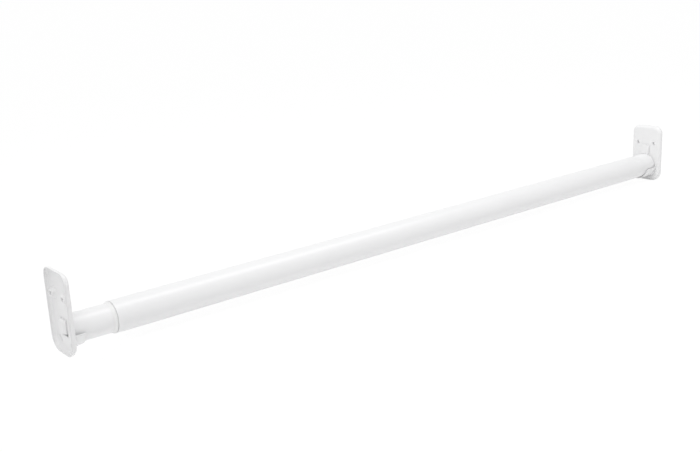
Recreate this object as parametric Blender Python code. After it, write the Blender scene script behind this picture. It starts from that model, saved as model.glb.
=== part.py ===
"""Telescopic closet rod: two steel tubes that slide in each other, with a pressed wall plate at each end.

The rod lies along X. The origin is on its axis, in the plane of the right-hand wall, so the rod runs to -X.
The thick outer tube belongs to the right-hand plate and the thin inner tube to the left-hand one.
Both ends use the same plate, and each tube has its own cradle, clip and rivet. Lengths are in metres, with
+Z up.
"""

from math import acos, cos, pi, radians, sin, sqrt

import bmesh
import bpy

# Rod, set as it is in use
SPAN = 0.775
MOUTH_FROM_WALL = 0.0425
CLOSING_TRAVEL = 0.013

# Tubes
OUTER_TUBE_DIAMETER = 0.027
OUTER_TUBE_WALL = 0.0007
INNER_TUBE_WALL = 0.0008
TUBE_PLAY = 0.0007
TUBE_END_GAP = 0.0005

# Clearances between pieces that are seated on each other, that run in each other and that stop short
SEAT_GAP = 0.0003
RUNNING_GAP = 0.00015
STOP_GAP = 0.001

# Collar in the mouth of the outer tube
COLLAR_SLEEVE_LENGTH = 0.040
COLLAR_NOSE_LENGTH = 0.0027
COLLAR_TIP_WALL = 0.00015
COLLAR_SHOULDER_DROP = 0.0001

# Plug on the hidden end of the inner tube, held by a bead that is rolled into the tube
PLUG_SPIGOT_LENGTH = 0.014
PLUG_HEAD_LENGTH = 0.008
PLUG_WALL = 0.0018
PLUG_CHAMFER = 0.0006
BEAD_FROM_END = 0.007
BEAD_WIDTH = 0.003
BEAD_DEPTH = 0.0005
GROOVE_SPARE = 0.0004

# Wall plate, pressed from sheet, with its rim turned to the wall
PLATE_SHEET = 0.0012
PLATE_SIDE_MARGIN = 0.0047
PLATE_FOOT_MARGIN = 0.0048
PLATE_TOP_MARGIN = 0.021
PLATE_TOP_CORNER = 0.0085
PLATE_FOOT_CORNER = 0.0118
PLATE_INSIDE_BEND = 0.0024
WALL_CLEARANCE = 0.0003

# Screw holes, drawn out towards the wall
SCREW_HOLE = 0.0038
SCREW_SINK = 0.0056
SCREW_SPACING = 0.0221
SCREW_ABOVE_TUBE = 0.0139
SCREW_LAND = 0.0023

# Cradles under the tube ends, with flared lips and two lugs through the plate. The thick tube has the longer one
CRADLE_SHEET = 0.0012
RIGHT_CRADLE_LENGTH = 0.0172
RIGHT_CRADLE_CORNER = 0.005
LEFT_CRADLE_LENGTH = 0.0092
LEFT_CRADLE_CORNER = 0.0012
CRADLE_LIP_BELOW_AXIS = 0.0018
CRADLE_FLARE = 0.001
CRADLE_FLARE_RUN = 0.006
LUG_WIDTH = 0.005
LUG_TILT = radians(45)

# Clip through two slots in the plate: a tail that braces it over the tube, a back with its edges turned in to the
# plate, and a leg in the tube
CLIP_SHEET = 0.0012
CLIP_WIDTH = 0.0105
CLIP_CROSSING = 0.0076
CLIP_TAIL_LENGTH = 0.0175
CLIP_TAIL_RISE = 0.001
CLIP_TAIL_GAP = 0.0004
CLIP_LEG_DROP = 0.0028
CLIP_UPPER_SLOT_SPARE = 0.0005
CLIP_LOWER_SLOT_SPARE = 0.0036
CLIP_KNEE = 0.001
CLIP_WALL_ROOM = 0.001
CLIP_BACK_GAP = 0.0014
CLIP_PAD_WIDTH = 0.005
CLIP_PAD_LENGTH = 0.005

# Rivet through the cradle, the tube and the clip's lower leg
RIVET_RADIUS = 0.0012
RIVET_HEAD_RADIUS = 0.0024
RIVET_HEAD_HEIGHT = 0.0006
RIVET_CLINCH_RADIUS = 0.0019
RIVET_CLINCH_HEIGHT = 0.0007

# Facets
TUBE_SEGMENTS = 60
HOLE_SEGMENTS = 32
CORNER_STEPS = 8
BEND_STEPS = 5
BEAD_STEPS = 6
CRADLE_STEPS = 40
WELD = 1e-7
CUT_MARGIN = 0.002
JOIN_OVERLAP = 0.0003
SMOOTH_ANGLE = radians(35)

# Sizes that follow from the ones above
OUTER_RADIUS = OUTER_TUBE_DIAMETER / 2
OUTER_BORE = OUTER_RADIUS - OUTER_TUBE_WALL
INNER_RADIUS = OUTER_BORE - TUBE_PLAY
INNER_BORE = INNER_RADIUS - INNER_TUBE_WALL
INNER_AXIS_DROP = OUTER_RADIUS - INNER_RADIUS
PLATE_RECESS = CLIP_WALL_ROOM + CLIP_SHEET + CLIP_BACK_GAP
PLATE_DEPTH = PLATE_RECESS + PLATE_SHEET
CRADLE_BORE = OUTER_RADIUS + SEAT_GAP
CRADLE_RADIUS = CRADLE_BORE + CRADLE_SHEET
SCREW_ABOVE_AXIS = OUTER_RADIUS + SCREW_ABOVE_TUBE
PLATE_HALF_WIDTH = CRADLE_RADIUS + PLATE_SIDE_MARGIN
PLATE_FOOT = -CRADLE_RADIUS - PLATE_FOOT_MARGIN
PLATE_TOP = SCREW_ABOVE_AXIS + PLATE_TOP_MARGIN
CRADLE_BACK = PLATE_DEPTH + SEAT_GAP
CLIP_NOTCH_FROM_WALL = PLATE_DEPTH + CLIP_TAIL_RISE + CLIP_SHEET / 2 + CLIP_TAIL_GAP
RIVET_FROM_WALL = (CLIP_NOTCH_FROM_WALL + CRADLE_BACK + LEFT_CRADLE_LENGTH) / 2
CLIP_REACH = RIVET_FROM_WALL + CLIP_PAD_LENGTH / 2
MOUTH_X = MOUTH_FROM_WALL - SPAN
OUTER_END_X = -PLATE_DEPTH - TUBE_END_GAP
INNER_END_X = PLATE_DEPTH + TUBE_END_GAP - SPAN
PLUG_END_X = -CLIP_REACH - STOP_GAP - CLOSING_TRAVEL
HIDDEN_END_X = PLUG_END_X - PLUG_HEAD_LENGTH - SEAT_GAP


def clear_scene():
    for thing in list(bpy.data.objects):
        bpy.data.objects.remove(thing)


def finish(name, colour, roughness, metallic):
    """A plain Principled material."""
    material = bpy.data.materials.new(name)
    material.use_nodes = True
    shader = material.node_tree.nodes["Principled BSDF"]
    shader.inputs["Base Color"].default_value = (*colour, 1.0)
    shader.inputs["Roughness"].default_value = roughness
    shader.inputs["Metallic"].default_value = metallic
    return material


def empty(name, location, turn=0.0, parent=None):
    """A frame that pieces hang on, turned about Z."""
    frame = bpy.data.objects.new(name, None)
    frame.location = location
    frame.rotation_euler = (0.0, 0.0, turn)
    frame.parent = parent
    bpy.context.collection.objects.link(frame)
    return frame


def piece(name, mesh, material, parent):
    """One named piece of the rod, shaded smooth over its round faces."""
    solid = bpy.data.objects.new(name, mesh)
    if not mesh.materials:
        mesh.materials.append(material)
        mesh.shade_smooth()
        mesh.set_sharp_from_angle(angle=SMOOTH_ANGLE)
    solid.parent = parent
    bpy.context.collection.objects.link(solid)
    return solid


def closed_mesh(bm):
    """A mesh of the closed shape in bm, with its faces pointing out."""
    bmesh.ops.remove_doubles(bm, verts=bm.verts, dist=WELD)
    bmesh.ops.recalc_face_normals(bm, faces=bm.faces)
    mesh = bpy.data.meshes.new("shape")
    bm.to_mesh(mesh)
    bm.free()
    return mesh


def turned(profile, axis, segments, closed=True):
    """A profile in the XZ plane turned about an axis through the origin."""
    bm = bmesh.new()
    points = [bm.verts.new((x, 0.0, z)) for x, z in profile]
    edges = [bm.edges.new(pair) for pair in zip(points, points[1:])]
    if closed:
        edges.append(bm.edges.new((points[-1], points[0])))
    bmesh.ops.spin(
        bm,
        geom=points + edges,
        axis=axis,
        cent=(0.0, 0.0, 0.0),
        angle=2 * pi,
        steps=segments,
        use_merge=True,
    )
    return closed_mesh(bm)


def lofted(rings):
    """A solid through rings of equally many points, with the first and the last ring filled."""
    bm = bmesh.new()
    loops = [[bm.verts.new(point) for point in ring] for ring in rings]
    for near, far in zip(loops, loops[1:]):
        for i in range(len(near)):
            bm.faces.new((near[i - 1], near[i], far[i], far[i - 1]))
    bm.faces.new(loops[0])
    bm.faces.new(loops[-1])
    return closed_mesh(bm)


def shaped(blank, steps):
    """The blank after each (operation, tool) of steps in turn."""
    work = bpy.data.objects.new("work", blank)
    bpy.context.collection.objects.link(work)
    used = [work]
    for operation, tool in steps:
        cutter = bpy.data.objects.new("tool", tool)
        cutter.hide_render = True
        cutter.display_type = "WIRE"
        bpy.context.collection.objects.link(cutter)
        used.append(cutter)
        modifier = work.modifiers.new("step", "BOOLEAN")
        modifier.operation = operation
        modifier.solver = "EXACT"
        modifier.object = cutter
    graph = bpy.context.evaluated_depsgraph_get()
    mesh = bpy.data.meshes.new_from_object(work.evaluated_get(graph))
    for thing in used:
        bpy.data.objects.remove(thing)
    return mesh


def arc(centre, radius, start, stop, steps):
    """Points from start to stop round a centre, in a plane."""
    angles = [start + (stop - start) * i / steps for i in range(steps + 1)]
    return [(centre[0] + radius * cos(a), centre[1] + radius * sin(a)) for a in angles]


def cone(centre, low_x, low_radius, high_x, high_radius):
    """A cone or cylinder along X, round a point (y, z)."""
    rings = []
    for x, radius in ((low_x, low_radius), (high_x, high_radius)):
        circle = arc(centre, radius, 0.0, 2 * pi, HOLE_SEGMENTS)[:-1]
        rings.append([(x, y, z) for y, z in circle])
    return lofted(rings)


def upright_cylinder(x, radius, low, high):
    circle = arc((x, 0.0), radius, 0.0, 2 * pi, HOLE_SEGMENTS)[:-1]
    return lofted([[(px, py, z) for px, py in circle] for z in (low, high)])


def block(x, y, z):
    """A box between the two values of each of x, y and z."""
    section = [(y[0], z[0]), (y[1], z[0]), (y[1], z[1]), (y[0], z[1])]
    return lofted([[(side, py, pz) for py, pz in section] for side in x])


# Tubes, collar and plug


def rivet_hole(x, axis_z):
    """A cutter for the rivet through the underside of a tube or cradle."""
    return upright_cylinder(x, RIVET_RADIUS + SEAT_GAP, axis_z - OUTER_TUBE_DIAMETER, axis_z)


def clip_notch(wall_x, inwards):
    """A cutter for the notch that the clip's tail leaves a tube by, from a wall inwards along X."""
    half_width = CLIP_WIDTH / 2 + SEAT_GAP
    ends = [wall_x + inwards * from_wall for from_wall in (0.0, CLIP_NOTCH_FROM_WALL)]
    return block(ends, (-half_width, half_width), (0.0, OUTER_TUBE_DIAMETER))


def outer_tube():
    profile = [
        (MOUTH_X, OUTER_RADIUS),
        (OUTER_END_X, OUTER_RADIUS),
        (OUTER_END_X, OUTER_BORE),
        (MOUTH_X, OUTER_BORE),
    ]
    tube = turned(profile, (1, 0, 0), TUBE_SEGMENTS)
    cuts = (rivet_hole(-RIVET_FROM_WALL, 0.0), clip_notch(0.0, -1))
    return shaped(tube, [("DIFFERENCE", cut) for cut in cuts])


def bead(centre, half_width, radius, depth):
    """Points along a rolled bead, which dips from a radius by depth."""
    points = []
    for i in range(BEAD_STEPS + 1):
        share = 2 * i / BEAD_STEPS - 1
        dip = depth * (1 + cos(pi * share)) / 2
        points.append((centre + half_width * share, radius - dip))
    return points


def inner_tube():
    bead_x = HIDDEN_END_X - BEAD_FROM_END
    outside = bead(bead_x, BEAD_WIDTH / 2, INNER_RADIUS, BEAD_DEPTH)
    inside = bead(bead_x, BEAD_WIDTH / 2, INNER_BORE, BEAD_DEPTH)
    profile = [(INNER_END_X, INNER_RADIUS), *outside, (HIDDEN_END_X, INNER_RADIUS)]
    profile += [(HIDDEN_END_X, INNER_BORE), *reversed(inside), (INNER_END_X, INNER_BORE)]
    tube = turned(profile, (1, 0, 0), TUBE_SEGMENTS)
    cuts = (rivet_hole(RIVET_FROM_WALL - SPAN, 0.0), clip_notch(-SPAN, 1))
    return shaped(tube, [("DIFFERENCE", cut) for cut in cuts])


def mouth_collar():
    """A sleeve between the tubes, with a tapered nose in front of the outer tube's mouth."""
    bore = INNER_RADIUS + RUNNING_GAP
    sleeve = OUTER_BORE - RUNNING_GAP
    shoulder_x = MOUTH_X - RUNNING_GAP
    tip_x = shoulder_x - COLLAR_NOSE_LENGTH
    inner_x = MOUTH_X + COLLAR_SLEEVE_LENGTH
    profile = [
        (tip_x, bore + COLLAR_TIP_WALL),
        (shoulder_x, OUTER_RADIUS - COLLAR_SHOULDER_DROP),
        (shoulder_x, sleeve),
        (inner_x, sleeve),
        (inner_x, bore),
        (tip_x, bore),
    ]
    return turned(profile, (1, 0, 0), TUBE_SEGMENTS)


def guide_plug():
    """A hollow plug: its spigot turns in the inner tube, and its head runs in the outer tube."""
    spigot = INNER_BORE - RUNNING_GAP
    head = OUTER_BORE - RUNNING_GAP
    bore = spigot - PLUG_WALL
    groove_half = BEAD_WIDTH / 2 + GROOVE_SPARE
    groove = bead(HIDDEN_END_X - BEAD_FROM_END, groove_half, spigot, BEAD_DEPTH + RUNNING_GAP)
    head_x = HIDDEN_END_X + SEAT_GAP
    profile = [(HIDDEN_END_X - PLUG_SPIGOT_LENGTH, spigot), *groove, (head_x, spigot)]
    profile += [(head_x, head), (PLUG_END_X - PLUG_CHAMFER, head), (PLUG_END_X, head - PLUG_CHAMFER)]
    profile += [(PLUG_END_X, bore), (HIDDEN_END_X - PLUG_SPIGOT_LENGTH, bore)]
    return turned(profile, (1, 0, 0), TUBE_SEGMENTS)


# Brackets. Here x runs from the wall into the room, and z is 0 at the centre of the cradle's round.


def plate_outline(inset):
    """Points (y, z) round the plate, set in from its edge."""
    points = []
    corners = [
        (1, PLATE_TOP, PLATE_TOP_CORNER, 0.0),
        (-1, PLATE_TOP, PLATE_TOP_CORNER, pi / 2),
        (-1, PLATE_FOOT, PLATE_FOOT_CORNER, pi),
        (1, PLATE_FOOT, PLATE_FOOT_CORNER, 3 * pi / 2),
    ]
    for side, edge_z, corner, start in corners:
        inwards = -corner if edge_z > 0 else corner
        centre = (side * (PLATE_HALF_WIDTH - corner), edge_z + inwards)
        points += arc(centre, corner - inset, start, start + pi / 2, CORNER_STEPS)
    return points


def plate_blank():
    """The dished plate without its holes: out over the room side, round the rim and back inside."""
    bend = PLATE_SHEET + PLATE_INSIDE_BEND
    bend_x = PLATE_DEPTH - bend
    quarter = [pi / 2 * i / BEND_STEPS for i in range(BEND_STEPS + 1)]
    outside = [(bend_x + bend * sin(a), bend - bend * cos(a)) for a in quarter]
    inside = [(bend_x + PLATE_INSIDE_BEND * sin(a), bend - PLATE_INSIDE_BEND * cos(a)) for a in quarter]
    stations = [*reversed(outside), (0.0, 0.0), (0.0, PLATE_SHEET), *inside]
    return lofted([[(x, y, z) for y, z in plate_outline(inset)] for x, inset in stations])


def lug_slot(side):
    """A cutter for a straight slot round one of the cradle's lugs."""
    turn = side * LUG_TILT
    half = LUG_WIDTH / 2 + SEAT_GAP
    near = CRADLE_BORE * cos(LUG_WIDTH / 2 / CRADLE_BORE) - SEAT_GAP
    far = CRADLE_RADIUS + SEAT_GAP
    section = []
    for out, along in ((near, -half), (near, half), (far, half), (far, -half)):
        section.append((out * sin(turn) + along * cos(turn), along * sin(turn) - out * cos(turn)))
    ends = (PLATE_RECESS - CUT_MARGIN, PLATE_DEPTH + CUT_MARGIN)
    return lofted([[(x, y, z) for y, z in section] for x in ends])


def clip_slot(height, spare_above, spare_below):
    """A cutter for a slot that the clip passes through at a height, with room to thread it."""
    half_width = CLIP_WIDTH / 2 + SEAT_GAP
    half_height = CLIP_SHEET / 2 + SEAT_GAP
    depth = (PLATE_RECESS - CUT_MARGIN, PLATE_DEPTH + CUT_MARGIN)
    rise = (height - half_height - spare_below, height + half_height + spare_above)
    return block(depth, (-half_width, half_width), rise)


def wall_plate():
    """The finished plate: screw holes drawn out, then the slots cut."""
    steps = [
        ("DIFFERENCE", clip_slot(CLIP_CROSSING, CLIP_UPPER_SLOT_SPARE, 0.0)),
        ("DIFFERENCE", clip_slot(-CLIP_LEG_DROP, 0.0, CLIP_LOWER_SLOT_SPARE)),
    ]
    hole = SCREW_HOLE / 2
    sink = SCREW_SINK / 2
    boss_x = PLATE_RECESS + JOIN_OVERLAP
    for side in (-1, 1):
        centre = (side * SCREW_SPACING / 2, SCREW_ABOVE_AXIS)
        boss = cone(centre, WALL_CLEARANCE, hole + PLATE_SHEET, boss_x, sink + PLATE_SHEET)
        land_x = WALL_CLEARANCE + SCREW_LAND
        past = (sink - hole) * CUT_MARGIN / (PLATE_DEPTH - land_x)
        countersink = cone(centre, land_x, hole, PLATE_DEPTH + CUT_MARGIN, sink + past)
        through = cone(centre, -CUT_MARGIN, hole, PLATE_DEPTH, hole)
        steps += [("UNION", boss), ("DIFFERENCE", through), ("DIFFERENCE", countersink)]
        steps.append(("DIFFERENCE", lug_slot(side)))
    return shaped(plate_blank(), steps)


def cradle_blank(length, corner):
    """The cradle's flat blank: s runs round the tube and x along it, with a lug each side at the back."""
    half = CRADLE_BORE * acos(CRADLE_LIP_BELOW_AXIS / CRADLE_BORE)
    lug = CRADLE_BORE * LUG_TILT
    outline = [(-half, CRADLE_BACK)]
    for middle in (-lug, lug):
        near = middle - LUG_WIDTH / 2
        far = middle + LUG_WIDTH / 2
        outline += [(near, CRADLE_BACK), (near, PLATE_RECESS), (far, PLATE_RECESS), (far, CRADLE_BACK)]
    outline.append((half, CRADLE_BACK))
    corner_x = CRADLE_BACK + length - corner
    outline += arc((half - corner, corner_x), corner, 0.0, pi / 2, CORNER_STEPS)
    outline += arc((corner - half, corner_x), corner, pi / 2, pi, CORNER_STEPS)
    return outline, half


def cradle(length, corner):
    """The blank bent round under the tube, with its lips flared out and the rivet's hole."""
    outline, half = cradle_blank(length, corner)
    bm = bmesh.new()
    bm.faces.new([bm.verts.new((s, x, 0.0)) for s, x in outline])
    for i in range(1, CRADLE_STEPS):
        fold = half * (2 * i / CRADLE_STEPS - 1)
        everything = bm.verts[:] + bm.edges[:] + bm.faces[:]
        bmesh.ops.bisect_plane(bm, geom=everything, dist=WELD, plane_co=(fold, 0, 0), plane_no=(1, 0, 0))
    for point in bm.verts:
        turn = point.co.x / CRADLE_BORE
        up_lip = max(0.0, 1 + (abs(point.co.x) - half) / CRADLE_FLARE_RUN)
        radius = CRADLE_BORE + CRADLE_FLARE * up_lip**2
        point.co = (point.co.y, radius * sin(turn), -radius * cos(turn))
    grown = bmesh.ops.extrude_face_region(bm, geom=bm.faces[:])["geom"]
    growth = CRADLE_RADIUS / CRADLE_BORE
    for point in grown:
        if isinstance(point, bmesh.types.BMVert):
            point.co.y *= growth
            point.co.z *= growth
    return shaped(closed_mesh(bm), [("DIFFERENCE", rivet_hole(RIVET_FROM_WALL, 0.0))])


def strip(stations, thickness):
    """A bent strip of sheet along stations (x, z, half width) down its middle."""
    sides = []
    for here, there in zip(stations, stations[1:]):
        run = (there[0] - here[0], there[1] - here[1])
        length = sqrt(run[0] ** 2 + run[1] ** 2)
        sides.append((-run[1] / length, run[0] / length))
    rings = []
    for i, (x, z, half_width) in enumerate(stations):
        before = sides[max(i - 1, 0)]
        after = sides[min(i, len(sides) - 1)]
        mitre = 1 + before[0] * after[0] + before[1] * after[1]
        dx = thickness / 2 * (before[0] + after[0]) / mitre
        dz = thickness / 2 * (before[1] + after[1]) / mitre
        ring = [(x + dx, -half_width, z + dz), (x + dx, half_width, z + dz)]
        ring += [(x - dx, half_width, z - dz), (x - dx, -half_width, z - dz)]
        rings.append(ring)
    return lofted(rings)


def pad_height(bore, axis_z):
    """Height of the middle of the clip's pad, where its edges meet the tube's bore."""
    return axis_z - sqrt(bore**2 - (CLIP_PAD_WIDTH / 2) ** 2) + SEAT_GAP + CLIP_SHEET / 2


def tube_clip(bore, axis_z):
    """The clip, with its leg set to the bore of its tube, whose axis is at axis_z."""
    half = CLIP_WIDTH / 2
    pad_half = CLIP_PAD_WIDTH / 2
    back = CLIP_WALL_ROOM + CLIP_SHEET / 2
    tail_tip = PLATE_DEPTH + SEAT_GAP + CLIP_SHEET / 2
    pad = pad_height(bore, axis_z)
    stations = [
        (tail_tip, CLIP_CROSSING + CLIP_TAIL_LENGTH, half),
        (PLATE_DEPTH + CLIP_TAIL_RISE, CLIP_CROSSING, half),
        (back, CLIP_CROSSING, half),
        (back, -CLIP_LEG_DROP, half),
        (PLATE_DEPTH + CLIP_KNEE, -CLIP_LEG_DROP, half),
        (RIVET_FROM_WALL - CLIP_PAD_LENGTH / 2, pad, pad_half),
        (CLIP_REACH, pad, pad_half),
    ]
    edge_x = (CLIP_WALL_ROOM + CLIP_SHEET - JOIN_OVERLAP, PLATE_RECESS - SEAT_GAP)
    edge_z = (CLIP_SHEET - CLIP_LEG_DROP, CLIP_CROSSING - CLIP_SHEET)
    hole = upright_cylinder(RIVET_FROM_WALL, RIVET_RADIUS + SEAT_GAP, pad - CUT_MARGIN, pad + CUT_MARGIN)
    steps = [
        ("UNION", block(edge_x, (-half, CLIP_SHEET - half), edge_z)),
        ("UNION", block(edge_x, (half - CLIP_SHEET, half), edge_z)),
        ("DIFFERENCE", hole),
    ]
    return shaped(strip(stations, CLIP_SHEET), steps)


def rivet(pad):
    """The rivet, turned about Z: head under the cradle, clinched over the clip's pad."""
    seat = -CRADLE_RADIUS - SEAT_GAP
    clinch = pad + CLIP_SHEET / 2 + SEAT_GAP
    rim = RIVET_HEAD_HEIGHT / 2
    profile = [
        (0.0, clinch + RIVET_CLINCH_HEIGHT),
        (RIVET_CLINCH_RADIUS, clinch + RIVET_CLINCH_HEIGHT),
        (RIVET_CLINCH_RADIUS, clinch),
        (RIVET_RADIUS, clinch),
        (RIVET_RADIUS, seat),
        (RIVET_HEAD_RADIUS, seat),
        (RIVET_HEAD_RADIUS, seat - rim),
        (RIVET_HEAD_RADIUS - rim, seat - RIVET_HEAD_HEIGHT),
        (0.0, seat - RIVET_HEAD_HEIGHT),
    ]
    mesh = turned(profile, (0, 0, 1), HOLE_SEGMENTS, closed=False)
    for point in mesh.vertices:
        point.co.x += RIVET_FROM_WALL
    return mesh


def build():
    clear_scene()
    enamel = finish("white enamel", (0.87, 0.87, 0.87), 0.32, 0.0)
    polythene = finish("white polythene", (0.86, 0.86, 0.86), 0.45, 0.0)
    nylon = finish("natural nylon", (0.80, 0.78, 0.72), 0.5, 0.0)
    zinc = finish("zinc plate", (0.62, 0.63, 0.65), 0.35, 1.0)

    outer_rod = empty("outer_rod", (0.0, 0.0, 0.0))
    inner_rod = empty("inner_rod", (0.0, 0.0, 0.0))
    piece("outer_tube", outer_tube(), enamel, outer_rod)
    piece("mouth_collar", mouth_collar(), polythene, outer_rod)
    piece("inner_tube", inner_tube(), enamel, inner_rod)
    piece("guide_plug", guide_plug(), nylon, inner_rod)

    plate_mesh = wall_plate()
    right_end = empty("right_end", (0.0, 0.0, 0.0), pi, outer_rod)
    left_end = empty("left_end", (-SPAN, 0.0, INNER_AXIS_DROP), 0.0, inner_rod)
    ends = [
        ("right", right_end, OUTER_BORE, 0.0, cradle(RIGHT_CRADLE_LENGTH, RIGHT_CRADLE_CORNER)),
        ("left", left_end, INNER_BORE, -INNER_AXIS_DROP, cradle(LEFT_CRADLE_LENGTH, LEFT_CRADLE_CORNER)),
    ]
    for side, frame, bore, axis_z, cradle_mesh in ends:
        piece(f"{side}_wall_plate", plate_mesh, enamel, frame)
        piece(f"{side}_cradle", cradle_mesh, enamel, frame)
        piece(f"{side}_tube_clip", tube_clip(bore, axis_z), enamel, frame)
        piece(f"{side}_rivet", rivet(pad_height(bore, axis_z)), zinc, frame)


build()
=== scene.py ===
"""The looks of a telescopic closet rod: enamelled tubes, a moulded collar and pressed wall plates.

Each section makes one piece, or both of a pair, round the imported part, in the order of assembly. Lengths are
in metres, in the part's frame: the rod lies along X, from the left-hand wall to the right-hand one at x = 0,
and +Z is up.
"""

from math import acos, atan2, cos, hypot, pi, radians, sin, sqrt

import bmesh
import bpy
from mathutils import Matrix, Vector
from mathutils.geometry import delaunay_2d_cdt


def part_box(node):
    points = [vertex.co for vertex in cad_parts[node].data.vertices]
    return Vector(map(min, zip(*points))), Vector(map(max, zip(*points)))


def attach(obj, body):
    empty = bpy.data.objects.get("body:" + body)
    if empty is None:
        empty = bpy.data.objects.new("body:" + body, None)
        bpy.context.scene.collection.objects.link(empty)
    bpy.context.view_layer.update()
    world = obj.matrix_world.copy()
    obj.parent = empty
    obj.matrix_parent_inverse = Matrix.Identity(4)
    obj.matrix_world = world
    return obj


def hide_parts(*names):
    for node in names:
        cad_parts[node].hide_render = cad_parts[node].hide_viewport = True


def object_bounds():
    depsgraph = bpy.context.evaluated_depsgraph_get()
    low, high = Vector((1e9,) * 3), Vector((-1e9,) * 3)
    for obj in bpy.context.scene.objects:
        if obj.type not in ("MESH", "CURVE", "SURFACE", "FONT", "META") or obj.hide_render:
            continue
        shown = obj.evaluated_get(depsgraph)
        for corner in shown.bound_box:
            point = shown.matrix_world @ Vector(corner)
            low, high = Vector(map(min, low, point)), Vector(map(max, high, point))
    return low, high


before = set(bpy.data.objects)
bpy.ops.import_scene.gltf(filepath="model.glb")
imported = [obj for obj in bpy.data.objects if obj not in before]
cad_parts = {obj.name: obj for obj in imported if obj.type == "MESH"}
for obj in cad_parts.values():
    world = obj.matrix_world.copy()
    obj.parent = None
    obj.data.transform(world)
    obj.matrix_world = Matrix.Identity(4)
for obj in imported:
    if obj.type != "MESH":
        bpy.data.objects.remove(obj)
cad_low, cad_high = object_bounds()

# Outer tube. Welded steel tube, drawn round and enamelled white, with both ends trimmed square and deburred.
# Its right-hand end is notched for the clip and lies in a cradle, where a rivet holds it from below.

OUTER_TUBE_WALL = 0.0007
OUTER_TUBE_EDGE = 0.0003
RIVET_HOLE = 0.003
NOTCH_WIDTH = 0.0111
NOTCH_DEPTH = 0.0015
TUBE_FACETS = 160
RIVET_HOLE_FACETS = 32
SHARP_EDGE = radians(40)
LATHE_WELD = 1e-6
MESH_WELD = 1e-7
LEAST_EDGE = 1e-8


def rounded(corners, closed=True, steps=4):
    """A section through corners (along, radius, rounding), with each corner rounded off."""
    points = []
    for i, (along, radius, rounding) in enumerate(corners):
        here = Vector((along, radius))
        end = not closed and i in (0, len(corners) - 1)
        if end or not rounding:
            points.append(here)
            continue
        before = here + (Vector(corners[i - 1][:2]) - here).normalized() * rounding
        after = here + (Vector(corners[(i + 1) % len(corners)][:2]) - here).normalized() * rounding
        for step in range(steps + 1):
            share = step / steps
            points.append(before.lerp(here, share).lerp(here.lerp(after, share), share))
    return points


def lathe():
    """Geometry nodes that turn a section, drawn as edges at (radius, along), about its axis."""
    rail_radius = 0.01
    tree = bpy.data.node_groups.new("lathe", "GeometryNodeTree")
    for name, kind in (("Section", "Geometry"), ("Facets", "Int"), ("Finish", "Material")):
        tree.interface.new_socket(name, in_out="INPUT", socket_type="NodeSocket" + kind)
    tree.interface.new_socket("Piece", in_out="OUTPUT", socket_type="NodeSocketGeometry")
    given = tree.nodes.new("NodeGroupInput")
    drawn = tree.nodes.new("GeometryNodeMeshToCurve")
    shifted = tree.nodes.new("GeometryNodeTransform")
    shifted.inputs["Translation"].default_value = (-rail_radius, 0.0, 0.0)
    rail = tree.nodes.new("GeometryNodeCurvePrimitiveCircle")
    rail.inputs["Radius"].default_value = rail_radius
    swept = tree.nodes.new("GeometryNodeCurveToMesh")
    welded = tree.nodes.new("GeometryNodeMergeByDistance")
    welded.inputs["Distance"].default_value = LATHE_WELD
    whole = tree.nodes.new("GeometryNodeRealizeInstances")
    coated = tree.nodes.new("GeometryNodeSetMaterial")
    result = tree.nodes.new("NodeGroupOutput")
    links = (
        (given.outputs["Section"], drawn.inputs["Mesh"]),
        (given.outputs["Facets"], rail.inputs["Resolution"]),
        (given.outputs["Finish"], coated.inputs["Material"]),
        (drawn.outputs["Curve"], shifted.inputs["Geometry"]),
        (rail.outputs["Curve"], swept.inputs["Curve"]),
        (shifted.outputs["Geometry"], swept.inputs["Profile Curve"]),
        (swept.outputs["Mesh"], welded.inputs["Geometry"]),
        (welded.outputs["Geometry"], whole.inputs["Geometry"]),
        (whole.outputs["Geometry"], coated.inputs["Geometry"]),
        (coated.outputs["Geometry"], result.inputs["Piece"]),
    )
    for source, target in links:
        tree.links.new(source, target)
    return tree


LATHE = lathe()
ALONG_ROD = Matrix.Rotation(-pi / 2, 4, "Y")


def evaluated(piece):
    """The piece's mesh with its modifiers worked in."""
    graph = bpy.context.evaluated_depsgraph_get()
    mesh = bpy.data.meshes.new_from_object(piece.evaluated_get(graph))
    piece.modifiers.clear()
    return mesh


def closed_smooth(mesh, sharp=SHARP_EDGE):
    """Merges doubles, turns every face outwards and shades the mesh smooth between its sharp edges."""
    bm = bmesh.new()
    bm.from_mesh(mesh)
    bmesh.ops.remove_doubles(bm, verts=bm.verts, dist=MESH_WELD)
    bmesh.ops.dissolve_degenerate(bm, dist=LEAST_EDGE, edges=bm.edges)
    bmesh.ops.recalc_face_normals(bm, faces=bm.faces)
    bm.to_mesh(mesh)
    bm.free()
    mesh.shade_smooth()
    mesh.set_sharp_from_angle(angle=sharp)


def turned(name, section, facets, finish, placed):
    """A piece turned from a section of points (along, radius); placed moves it from the lathe to the rod."""
    drawing = bpy.data.meshes.new(name)
    closed = min(point[1] for point in section) > 0
    count = len(section)
    edges = [(i, (i + 1) % count) for i in range(count if closed else count - 1)]
    drawing.from_pydata([(radius, along, 0.0) for along, radius in section], edges, [])
    piece = bpy.data.objects.new(name, drawing)
    bpy.context.collection.objects.link(piece)
    worked = piece.modifiers.new("turned", "NODES")
    worked.node_group = LATHE
    sockets = {item.name: item.identifier for item in LATHE.interface.items_tree}
    worked[sockets["Facets"]] = facets
    worked[sockets["Finish"]] = finish
    piece.data = evaluated(piece)
    piece.data.transform(placed)
    closed_smooth(piece.data)
    return piece


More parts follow.
